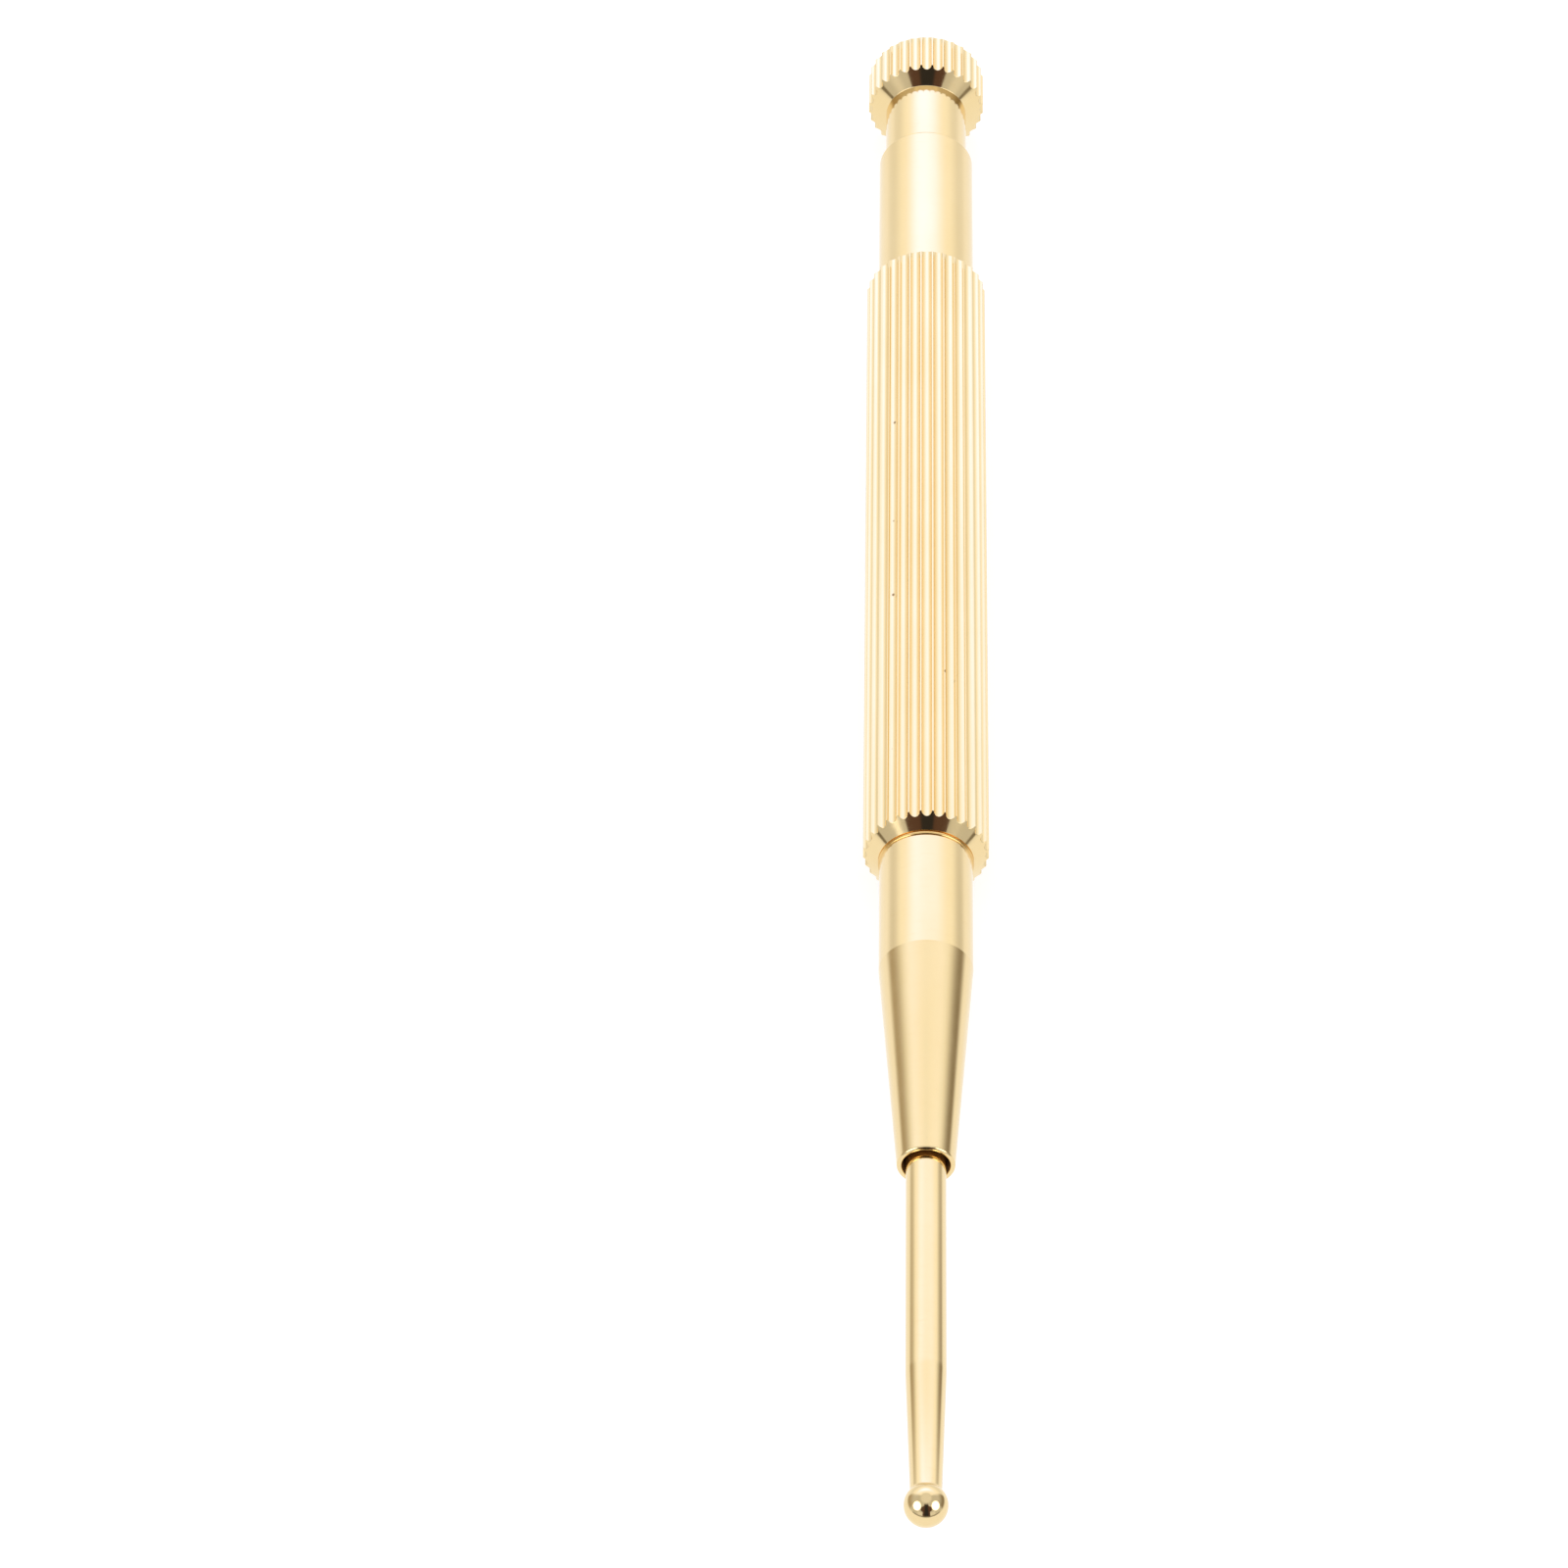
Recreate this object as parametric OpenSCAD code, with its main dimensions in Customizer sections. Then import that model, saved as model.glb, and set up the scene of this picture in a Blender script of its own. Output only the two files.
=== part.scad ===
// Spring-loaded ball probe: a fluted grip with a screwed-in nose, a sprung
// ball-ended rod, and a knob at the tail that screws in to load the spring.
// Every piece is turned, so each one is built upright about +Z, with z = 0 at
// the front of the ball, and laid down along the Y axis as a last step.

/* [Grip] */
// Diameter over the flute crests, which the knob shares
grip_d = 8.0; // [7.6:0.1:9]
// Length of the grip from end face to end face
grip_l = 52.85; // [50:0.05:60]
// Number of flutes round the grip and the knob
flute_n = 32; // [28:1:36]
// Depth of a flute
flute_depth = 0.28; // [0.2:0.01:0.32]
// Width of the flat land left between two flutes
land_w = 0.1; // [0.05:0.01:0.14]
// Axial length of the bevel at the front end of the grip
grip_bevel_l = 0.8; // [0.4:0.05:1]
// Axial length of the bevel at the rear end of the grip
grip_rear_bevel_l = 0.6; // [0.4:0.05:1]

/* [Nose] */
// Diameter of the smooth collar in front of the grip
collar_d = 5.9; // [5.7:0.1:6.1]
// Length of the collar
collar_l = 8.85; // [7:0.05:11]
// Length of the cone
cone_l = 15.8; // [14.5:0.1:18]
// Diameter of the cone at its mouth
mouth_d = 3.56; // [3.5:0.02:3.8]
// Diameter of the open mouth, which the ball can pass
mouth_bore_d = 2.92; // [2.8:0.02:3]

/* [Probe] */
// Diameter of the ball
ball_d = 2.64; // [2.5:0.02:2.7]
// Diameter of the straight rod
rod_d = 2.46; // [2.4:0.02:2.5]
// Diameter of the rod where it meets the ball
rod_neck_d = 1.9; // [1.6:0.05:2.1]
// Radius of the fillet between the ball and the rod
neck_fillet = 0.3; // [0.2:0.05:0.5]
// Distance from the front of the ball to the end of the taper
taper_end = 11.1; // [8:0.1:13]
// Distance from the front of the ball to the mouth of the nose
reach = 27.0; // [24:0.5:30]
// How far the probe can be pushed in with the knob screwed right home
stroke = 8.0; // [4:0.5:10]

/* [Tail] */
// Diameter of the smooth tail barrel
tail_d = 6.4; // [6.3:0.1:6.5]
// Visible length of the tail barrel
tail_l = 12.4; // [11.5:0.1:14]

/* [Knob] */
// Diameter of the stem that slides into the tail barrel
stem_d = 5.54; // [5.4:0.02:5.6]
// Length of stem that shows between the tail barrel and the knob
stem_show = 5.2; // [4.5:0.1:6]
// Length of the knob from its bevel to its end face
knob_l = 4.2; // [4:0.1:6]
// Axial length of the bevel on the front of the knob
knob_bevel_l = 0.8; // [0.5:0.05:1]
// How far the knob screws in from where it is drawn
screw_in = 3.0; // [2:0.1:3.4]
// How far the knob screws out from where it is drawn
screw_out = 2.5; // [1.5:0.1:2.8]

/* [Spring] */
// Wire diameter of the pressure spring
wire_d = 0.35; // [0.3:0.01:0.36]
// Mean diameter of the coils
coil_d = 2.95; // [2.92:0.01:3]
// Number of open coils
open_coils = 18; // [14:1:20]
// Number of closed coils at each end
closed_coils = 1.5; // [1:0.5:2]
// Length of the spring as fitted
spring_l = 34; // [30:0.5:36]

/* [Hidden] */
$fn = 96;

brass = [0.80, 0.62, 0.28];
gold = [0.95, 0.80, 0.50];
bronze = [0.68, 0.46, 0.27];
steel = [0.72, 0.73, 0.75];
nylon = [0.93, 0.92, 0.86];

// Running clearance on a radius, and the small chamfer broken on inner edges
run_gap = 0.03;
edge = 0.12;

// Fine 0.5 mm pitch threads, drawn as plain rings: major radius and depth
pitch = 0.5;
thread_depth = 0.28;
body_thread_r = 2.48;
stud_r = 1.48;
tap_gap = 0.02;

// Stations along the axis, from the front of the ball
ring_t = 0.3;
cone_z = reach + cone_l;
shoulder_z = cone_z + collar_l;
grip_z = shoulder_z + ring_t;
grip_end_z = grip_z + grip_l;
tail_end_z = grip_end_z + tail_l;
knob_z = tail_end_z + stem_show;
overall_l = knob_z + knob_l;

// Radii of the outside
grip_r = grip_d / 2;
collar_r = collar_d / 2;
tail_r = tail_d / 2;
stem_r = stem_d / 2;
rod_r = rod_d / 2;
ball_r = ball_d / 2;
seam_r = collar_r + 0.08;
grip_front_face_r = seam_r + 0.02;
grip_rear_face_r = tail_r + 0.1;

// A flute is a round groove: its radius follows from its depth and its mouth's width
flute_mouth = 2 * grip_r * sin(180 / flute_n) - land_w;
flute_r = (pow(flute_mouth / 2, 2) + pow(flute_depth, 2)) / (2 * flute_depth);
flute_centre_r = grip_r - flute_depth + flute_r;
flute_half_angle = acos((pow(grip_r, 2) + pow(flute_centre_r, 2) - pow(flute_r, 2))
                        / (2 * grip_r * flute_centre_r));
// The grip rests on the two crests beside its lowest flute
axis_h = grip_r * cos(flute_half_angle);

// Inside the nose
bush_z = reach + 6;
bush_l = 8;
bush_r = 1.75;
nose_bore_r = 1.8;
nose_spigot_l = 6.6;
relief_l = 0.7;
relief_r = 2.18;
washer_t = 1;
stop_z = bush_z + bush_l + washer_t;

// On the rod
stop_collar_l = 4;
stop_collar_r = nose_bore_r - 0.05;
pin_r = 0.35;
thrust_z = stop_z + stop_collar_l;
thrust_t = 0.5;
spring_z = thrust_z + thrust_t;

// Inside the grip
grip_bore_r = 2.1;
tap_front_l = 7.5;
tap_rear_l = 9.2;
follower_z = spring_z + spring_l;
follower_l = 2.2;
follower_r = grip_bore_r - 0.04;
post_r = 1.15;
post_l = 3;
rod_end_z = follower_z - post_l - screw_in - stroke - 0.1;
thrust_ball_r = 0.8;
socket_r = 0.9;
ball_z = follower_z + follower_l + 0.25;

// In the tail
tail_spigot_l = 8.45;
tail_spigot_z = grip_end_z - tail_spigot_l;
stud_z = ball_z + 0.45;
stud_pin_r = 0.5;
stem_front_z = tail_end_z - 5;
stem_bore_z = stem_front_z - screw_in - 0.05;
stud_end_z = stem_front_z + 7.3;
stud_pin_z = stem_front_z + 1.3;
clip_t = 0.4;
clip_groove_l = 0.5;
clip_groove_r = 1.08;
clip_z = tail_spigot_z - screw_out - clip_t - 0.02;

// Lays a piece down along Y, ball towards -Y, resting on z = 0
module lay_down() {
    translate([0, -overall_l / 2, axis_h]) rotate([-90, 0, 0]) children();
}

// A solid of revolution about the axis, from an outline of [radius, station] points
module turned(outline) {
    rotate_extrude() polygon(outline);
}

// A plain tube between two stations, with both outer edges chamfered
module ring(outer_r, inner_r, z, l, c) {
    turned([[inner_r, z], [outer_r - c, z], [outer_r, z + c],
            [outer_r, z + l - c], [outer_r - c, z + l], [inner_r, z + l]]);
}

// A solid bar with V grooves at the thread pitch; hole_r > 0 leaves a bore
module threaded(r, hole_r, z, l) {
    turns = floor(l / pitch) - 1;
    start = z + (l - turns * pitch) / 2;
    grooves = [for (i = [0:turns - 1], p = [0, 0.5, 1])
                  [p == 0.5 ? r - thread_depth : r, start + (i + p * 0.9) * pitch]];
    turned(concat([[hole_r, z], [r - edge, z], [r, z + edge]], grooves,
                  [[r, z + l - edge], [r - edge, z + l], [hole_r, z + l]]));
}

// Cross-section of the fluted bar
module flute_outline() {
    difference() {
        circle(grip_r);
        for (i = [0:flute_n - 1])
            rotate(i * 360 / flute_n) translate([flute_centre_r, 0]) circle(flute_r, $fn = 36);
    }
}

// Fluted bar cut back by a bevel at each end, which leaves the scalloped edges
module fluted_bar(z, l, front_r, front_l, rear_r, rear_l) {
    spare = 1;
    front_over = spare * front_l / (grip_r - front_r);
    rear_over = spare * rear_l / (grip_r - rear_r);
    intersection() {
        translate([0, 0, z]) linear_extrude(l) flute_outline();
        turned([[0, z], [front_r, z], [grip_r + spare, z + front_l + front_over],
                [grip_r + spare, z + l - rear_l - rear_over], [rear_r, z + l], [0, z + l]]);
    }
}

// Ball, taper and rod in one piece, with a cross hole for the collar's pin
module probe_rod() {
    neck_r = rod_neck_d / 2;
    // The fillet's centre is as far from the ball as from the neck
    fillet_z = ball_r + sqrt(pow(ball_r + neck_fillet, 2) - pow(neck_r + neck_fillet, 2));
    fillet_start = atan2(neck_r + neck_fillet, fillet_z - ball_r);
    fillet = [for (i = [0:6])
                 let (a = fillet_start + (90 - fillet_start) * i / 6)
                 [neck_r + neck_fillet * (1 - sin(a)), fillet_z - neck_fillet * cos(a)]];
    end_chamfer = 0.4;
    color(gold) difference() {
        union() {
            translate([0, 0, ball_r]) sphere(ball_r);
            turned(concat([[0, ball_r]], fillet,
                          [[rod_r, taper_end], [rod_r, rod_end_z - end_chamfer],
                           [rod_r - end_chamfer, rod_end_z], [0, rod_end_z]]));
        }
        translate([-rod_d, 0, stop_z + stop_collar_l / 2]) rotate([0, 90, 0])
            cylinder(h = 2 * rod_d, r = pin_r);
    }
}

// Collar that stops the rod inside the nose
module rod_collar() {
    color(brass) difference() {
        ring(stop_collar_r, rod_r, stop_z, stop_collar_l, 0.15);
        translate([-stop_collar_r - 1, 0, stop_z + stop_collar_l / 2]) rotate([0, 90, 0])
            cylinder(h = 2 * stop_collar_r + 2, r = pin_r);
    }
}

// Pin through the collar and the rod
module collar_pin() {
    l = 2 * stop_collar_r - 0.2;
    color(steel) translate([-l / 2, 0, stop_z + stop_collar_l / 2]) rotate([0, 90, 0])
        cylinder(h = l, r = pin_r);
}

// Steel washer that lets the rod turn without winding the spring
module thrust_washer() {
    color(steel) ring(stop_collar_r, rod_r + 0.04, thrust_z, thrust_t, 0.06);
}

// Bronze bush that guides the rod near the mouth
module guide_bush() {
    color(bronze) ring(bush_r, rod_r + run_gap, bush_z, bush_l, 0.1);
}

// Nylon washer that quiets the collar when the probe springs back
module bump_washer() {
    color(nylon) ring(nose_bore_r - 0.03, rod_r + 0.06, bush_z + bush_l, washer_t, 0.1);
}

// Collar and cone in one piece, bored for the bush and the stop collar
module nose_cone() {
    mouth_r = mouth_d / 2;
    bore_r = mouth_bore_d / 2;
    lip = 0.16;
    relief_z = shoulder_z + relief_l;
    end_z = shoulder_z + nose_spigot_l;
    color(gold) difference() {
        union() {
            turned([[0, reach], [mouth_r - lip, reach], [mouth_r, reach + lip], [collar_r, cone_z],
                    [collar_r, shoulder_z], [relief_r, shoulder_z], [relief_r, relief_z], [0, relief_z]]);
            threaded(body_thread_r, 0, relief_z, end_z - relief_z);
        }
        translate([0, 0, reach - 1]) cylinder(h = bush_z - reach + 2, r = bore_r);
        translate([0, 0, bush_z]) cylinder(h = bush_l, r = bush_r);
        translate([0, 0, bush_z + bush_l]) cylinder(h = end_z - bush_z, r = nose_bore_r);
    }
}

// Thin ring with a rounded rim, pinched between the nose and the grip
module seam_ring() {
    inner_r = body_thread_r + tap_gap;
    rim_r = ring_t / 2;
    color(brass) rotate_extrude() {
        translate([inner_r, shoulder_z]) square([seam_r - rim_r - inner_r, ring_t]);
        translate([seam_r - rim_r, shoulder_z + rim_r]) circle(rim_r, $fn = 32);
    }
}

// Fluted grip, bored right through and tapped at both ends
module grip_sleeve() {
    tap_r = body_thread_r + tap_gap;
    color(gold) difference() {
        fluted_bar(grip_z, grip_l, grip_front_face_r, grip_bevel_l, grip_rear_face_r, grip_rear_bevel_l);
        translate([0, 0, grip_z - 1]) cylinder(h = grip_l + 2, r = grip_bore_r);
        translate([0, 0, grip_z - 1]) cylinder(h = tap_front_l + 1, r = tap_r);
        translate([0, 0, grip_end_z - tap_rear_l]) cylinder(h = tap_rear_l + 1, r = tap_r);
    }
}

// Height of the wire's centre after a number of turns: closed, open, closed
function coil_height(turn) =
    let (open_rise = (spring_l - (2 * closed_coils + 1) * wire_d) / open_coils,
         closed = min(turn, closed_coils) + max(0, turn - closed_coils - open_coils),
         open = min(max(turn - closed_coils, 0), open_coils))
    wire_d / 2 + closed * wire_d + open * open_rise;

// Compression spring: a round wire swept along its helix
module pressure_spring() {
    steps_per_turn = 16;
    sides = 8;
    turns = open_coils + 2 * closed_coils;
    steps = turns * steps_per_turn;
    rings = [for (i = [0:steps])
                let (a = i * 360 / steps_per_turn, h = coil_height(i / steps_per_turn))
                [for (k = [0:sides - 1])
                    let (b = k * 360 / sides, r = coil_d / 2 + wire_d / 2 * cos(b) * 0.98)
                    [r * cos(a), r * sin(a), spring_z + h + wire_d / 2 * sin(b) * 0.98]]];
    points = [for (r = rings, p = r) p];
    walls = [for (i = [0:steps - 1], k = [0:sides - 1])
                let (n = (k + 1) % sides)
                [i * sides + k, (i + 1) * sides + k, (i + 1) * sides + n, i * sides + n]];
    start_cap = [[for (k = [0:sides - 1]) k]];
    end_cap = [[for (k = [sides - 1:-1:0]) steps * sides + k]];
    color(steel) polyhedron(points, concat(start_cap, walls, end_cap), convexity = 10);
}

// Sliding seat behind the spring, with a post in the coils and a socket for the ball
module spring_follower() {
    z = follower_z;
    color(brass) difference() {
        union() {
            ring(follower_r, 0, z, follower_l, 0.15);
            ring(post_r, 0, z - post_l, post_l + 0.2, 0.3);
        }
        translate([0, 0, ball_z]) sphere(thrust_ball_r + 0.02);
    }
}

// Ball that the stud pushes against
module thrust_ball() {
    color(steel) translate([0, 0, ball_z]) sphere(thrust_ball_r);
}

// Threaded stud fixed in the knob's stem
module adjuster_stud() {
    plain_l = clip_z + clip_groove_l + 0.7 - stud_z;
    groove_z = clip_z - (clip_groove_l - clip_t) / 2;
    color(steel) difference() {
        union() {
            ring(stud_r, 0, stud_z, plain_l, 0.3);
            threaded(stud_r, 0, stud_z + plain_l, stem_front_z - 0.5 - stud_z - plain_l);
            ring(stud_r, 0, stem_front_z - 0.5, stud_end_z - stem_front_z + 0.5, 0.3);
        }
        translate([0, 0, ball_z]) sphere(thrust_ball_r + 0.02);
        translate([0, 0, groove_z]) difference() {
            cylinder(h = clip_groove_l, r = stud_r + 1);
            translate([0, 0, -1]) cylinder(h = clip_groove_l + 2, r = clip_groove_r);
        }
        translate([-stem_r, 0, stud_pin_z]) rotate([0, 90, 0]) cylinder(h = stem_d, r = stud_pin_r);
    }
}

// Open clip in the stud's groove, which stops the knob coming right out
module stud_clip() {
    outer_r = grip_bore_r - 0.15;
    gap = 2 * clip_groove_r - 0.4;
    color(steel) translate([0, 0, clip_z]) linear_extrude(clip_t) difference() {
        circle(outer_r);
        circle(clip_groove_r + 0.01);
        translate([0, -gap / 2]) square([outer_r + 1, gap]);
        for (a = [120, 240]) rotate(a) translate([clip_groove_r + 0.2, 0]) circle(0.28, $fn = 24);
    }
}

// Pin that locks the stud in the stem
module stud_pin() {
    l = stem_d - 0.2;
    color(steel) translate([-l / 2, 0, stud_pin_z]) rotate([0, 90, 0]) cylinder(h = l, r = stud_pin_r);
}

// Smooth tail barrel: a thread for the grip in front, a slide for the stem behind
module tail_barrel() {
    chamfer = 0.2;
    relief_z = grip_end_z - relief_l;
    color(gold) difference() {
        union() {
            threaded(body_thread_r, 0, tail_spigot_z, relief_z - tail_spigot_z);
            turned([[0, relief_z], [relief_r, relief_z], [relief_r, grip_end_z], [tail_r, grip_end_z],
                    [tail_r, tail_end_z - chamfer], [tail_r - chamfer, tail_end_z], [0, tail_end_z]]);
        }
        translate([0, 0, tail_spigot_z - 1])
            cylinder(h = tail_end_z - tail_spigot_z, r = stud_r + run_gap);
        translate([0, 0, stem_bore_z]) cylinder(h = tail_end_z - stem_bore_z + 1, r = stem_r + run_gap);
    }
}

// Fluted knob and its stem in one piece
module adjuster_knob() {
    rear_bevel = 0.5;
    color(gold) difference() {
        union() {
            ring(stem_r, 0, stem_front_z, knob_z + 0.5 - stem_front_z, 0.2);
            fluted_bar(knob_z, knob_l, stem_r, knob_bevel_l, grip_r - rear_bevel, rear_bevel);
        }
        translate([0, 0, stem_front_z - 1]) cylinder(h = stud_end_z - stem_front_z + 1, r = stud_r);
        translate([-stem_r - 1, 0, stud_pin_z]) rotate([0, 90, 0])
            cylinder(h = stem_d + 2, r = stud_pin_r);
    }
}

lay_down() probe_rod();
lay_down() rod_collar();
lay_down() collar_pin();
lay_down() thrust_washer();
lay_down() guide_bush();
lay_down() bump_washer();
lay_down() nose_cone();
lay_down() seam_ring();
lay_down() grip_sleeve();
lay_down() pressure_spring();
lay_down() spring_follower();
lay_down() thrust_ball();
lay_down() adjuster_stud();
lay_down() stud_clip();
lay_down() stud_pin();
lay_down() tail_barrel();
lay_down() adjuster_knob();
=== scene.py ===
"""Spring-loaded ball probe: detailed gold-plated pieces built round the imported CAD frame.

Lengths along the tool are millimetres from the front of the ball, radii are millimetres, and
every mesh is written in metres in the frame's own axes: ball towards -Y, knob towards +Y, +Z up.
"""
import math
import random

import bpy
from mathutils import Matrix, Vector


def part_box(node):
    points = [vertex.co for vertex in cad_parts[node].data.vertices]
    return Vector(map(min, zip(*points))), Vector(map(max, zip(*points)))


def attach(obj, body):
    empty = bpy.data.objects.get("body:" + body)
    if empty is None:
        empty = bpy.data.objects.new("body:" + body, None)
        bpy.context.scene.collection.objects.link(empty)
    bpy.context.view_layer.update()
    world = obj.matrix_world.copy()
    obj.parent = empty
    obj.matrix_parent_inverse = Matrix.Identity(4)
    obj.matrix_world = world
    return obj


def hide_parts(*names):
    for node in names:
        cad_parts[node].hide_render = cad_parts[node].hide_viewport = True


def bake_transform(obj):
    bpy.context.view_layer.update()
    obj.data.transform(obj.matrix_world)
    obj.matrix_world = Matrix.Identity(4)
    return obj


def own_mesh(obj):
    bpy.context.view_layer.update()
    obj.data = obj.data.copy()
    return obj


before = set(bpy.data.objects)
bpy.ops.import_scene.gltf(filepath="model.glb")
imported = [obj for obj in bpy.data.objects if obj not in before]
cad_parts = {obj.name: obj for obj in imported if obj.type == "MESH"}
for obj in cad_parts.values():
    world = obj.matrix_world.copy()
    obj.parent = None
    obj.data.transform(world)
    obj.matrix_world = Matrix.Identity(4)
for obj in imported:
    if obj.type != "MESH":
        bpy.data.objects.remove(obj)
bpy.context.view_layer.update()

MM = 0.001

# ---------------------------------------------------------------- sizes read from the frame


def node_span(node):
    """Where a CAD node starts and ends along the tool, and its largest radius, in millimetres."""
    low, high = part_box(node)
    return ((low.y - TIP_Y) / MM, (high.y - TIP_Y) / MM, (high.x - low.x) / 2 / MM)


TIP_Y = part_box("probe_rod")[0].y
AXIS_Z = (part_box("probe_rod")[0].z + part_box("probe_rod")[1].z) / 2

_, ROD_END, BALL_R = node_span("probe_rod")
MOUTH, NOSE_END, COLLAR_R = node_span("nose_cone")
SHOULDER, GRIP_START, SEAM_R = node_span("seam_ring")
_, GRIP_END, GRIP_R = node_span("grip_sleeve")
TAIL_START, TAIL_END, TAIL_R = node_span("tail_barrel")
STEM_START, KNOB_END, _ = node_span("adjuster_knob")
_, STUD_END, STUD_R = node_span("adjuster_stud")
BUSH_START, BUSH_END, BUSH_R = node_span("guide_bush")
SPRING_START, SPRING_END, COIL_OUTER_R = node_span("pressure_spring")

# ---------------------------------------------------------------- sizes the boxes don't give

ROD_R = 1.23
ROD_CHAMFER = 0.4
NECK_R = 0.95
NECK_FILLET = 0.3
TAPER_END = 11.1
MOUTH_R = 1.78
MOUTH_BORE_R = 1.46
CONE_END = 42.8
NOSE_BORE_R = 1.8
GRIP_BORE_R = 2.1
THREAD_R = 2.48
THREAD_DEPTH = 0.28
THREAD_PITCH = 0.5
THREAD_LEAD = 0.12
RELIEF_R = 2.18
RELIEF_L = 0.7
TAP_R = 2.5
TAP_FRONT_L = 7.5
TAP_REAR_L = 9.2
STUD_CLEARANCE_R = 1.51
STEM_R = 2.77
STEM_CHAMFER = 0.2
STEM_BORE_R = 2.80
STEM_BORE_START = 109.15
KNOB_START = 122.4
KNOB_BEVEL_L = 0.8
KNOB_REAR_BEVEL = 0.5
GRIP_BEVEL_L = 0.8
GRIP_REAR_BEVEL_L = 0.6
GRIP_FRONT_FACE_R = 3.05
GRIP_REAR_FACE_R = 3.3
WIRE_R = 0.175
# the wire is drawn a little thin, so that closed coils don't cut into each other
WIRE_DRAWN_R = 0.96 * WIRE_R
OPEN_COILS = 18
CLOSED_COILS = 1.5

FLUTES = 32
FLUTE_DEPTH = 0.28
FLUTE_LAND = 0.1
CREST_ROUND = 0.03

# how far the edges are rounded, from the sharpest
TIGHT = 0.02
CRISP = 0.03
BEVEL_EDGE = 0.035
NEAT = 0.04
SOFT = 0.05
MOUTH_BORE_EDGE = 0.14
MOUTH_EDGE = 0.16
TAIL_EDGE = 0.22
CONE_EDGE = 0.5
TAPER_EDGE = 12

# how finely curves are drawn
ROUND_COLUMNS = 192
ARC_STEPS = 5
BALL_STEPS = 60
FILLET_STEPS = 8
GROOVE_STEPS = 8
CREST_STEPS = 4
WIRE_STEPS_PER_TURN = 28
WIRE_SIDES = 12

# ---------------------------------------------------------------- mesh building


def unit(x, y):
    length = math.hypot(x, y) or 1.0
    return x / length, y / length


def between(first, second, share):
    """Unit direction between two directions."""
    return unit(
        first[0] * (1 - share) + second[0] * share,
        first[1] * (1 - share) + second[1] * share,
    )


def heading(start, end):
    return unit(end[0] - start[0], end[1] - start[1])


def arc_corner(before, corner, after, radius):
    """The arc that rounds one corner of an outline, as (along, radius, direction)."""
    way_in, way_out = heading(before, corner), heading(corner, after)
    turn = math.atan2(
        way_in[0] * way_out[1] - way_in[1] * way_out[0],
        way_in[0] * way_out[0] + way_in[1] * way_out[1],
    )
    hardly_turns, most_of_edge = 1e-4, 0.45
    if abs(turn) < hardly_turns:
        return [(*corner, way_in)] * (ARC_STEPS + 1)
    reach = math.tan(abs(turn) / 2)
    back = min(
        radius * reach,
        most_of_edge * math.dist(before, corner),
        most_of_edge * math.dist(corner, after),
    )
    radius = math.copysign(back / reach, turn)
    start = (corner[0] - way_in[0] * back, corner[1] - way_in[1] * back)
    centre = (start[0] - way_in[1] * radius, start[1] + way_in[0] * radius)
    points = []
    for i in range(ARC_STEPS + 1):
        a = turn * i / ARC_STEPS
        way = (
            way_in[0] * math.cos(a) - way_in[1] * math.sin(a),
            way_in[0] * math.sin(a) + way_in[1] * math.cos(a),
        )
        points.append((centre[0] + way[1] * radius, centre[1] - way[0] * radius, way))
    return points


def rounded_outline(corners, closed):
    """An outline of (along, radius, rounding) corners, as points with its direction at each."""
    points = []
    count = len(corners)
    for i, (along, radius, rounding) in enumerate(corners):
        here = (along, radius)
        if not closed and i in (0, count - 1):
            points.append((*here, (0, 1 if i == 0 else -1)))
            continue
        before, after = corners[i - 1][:2], corners[(i + 1) % count][:2]
        if rounding > 0:
            points += arc_corner(before, here, after, rounding)
        else:
            # on a curve drawn as points, the nearer neighbour says more about its direction
            near, far = math.dist(before, here), math.dist(here, after)
            way = between(heading(before, here), heading(here, after), near / (near + far))
            points.append((*here, way))
    return points


def to_frame(along, radius, turn):
    """A point of the tool in the frame's axes; turn is 0 at the top and grows towards +X."""
    return (
        radius * math.sin(turn) * MM,
        TIP_Y + along * MM,
        AXIS_Z + radius * math.cos(turn) * MM,
    )


def add_mesh(name, points, faces, material, normals=None):
    mesh = bpy.data.meshes.new(name)
    mesh.from_pydata(points, [], faces)
    mesh.update()
    mesh.shade_smooth()
    if normals:
        mesh.normals_split_custom_set_from_vertices(normals)
    piece = bpy.data.objects.new(name, mesh)
    bpy.context.scene.collection.objects.link(piece)
    piece.data.materials.append(material)
    return piece


def cross(a, b):
    return a[1] * b[2] - a[2] * b[1], a[2] * b[0] - a[0] * b[2], a[0] * b[1] - a[1] * b[0]


def surface_normal(left, here, right, turn, way):
    """Outward normal from the next points round the tool and the outline's direction."""
    near, far = math.dist(left, here), math.dist(here, right)
    around = [(h - l) / near * far + (r - h) / far * near for l, h, r in zip(left, here, right)]
    along = (way[1] * math.sin(turn), way[0], way[1] * math.cos(turn))
    normal = cross(around, along)
    length = math.hypot(*normal)
    return [c / length for c in normal]


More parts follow.
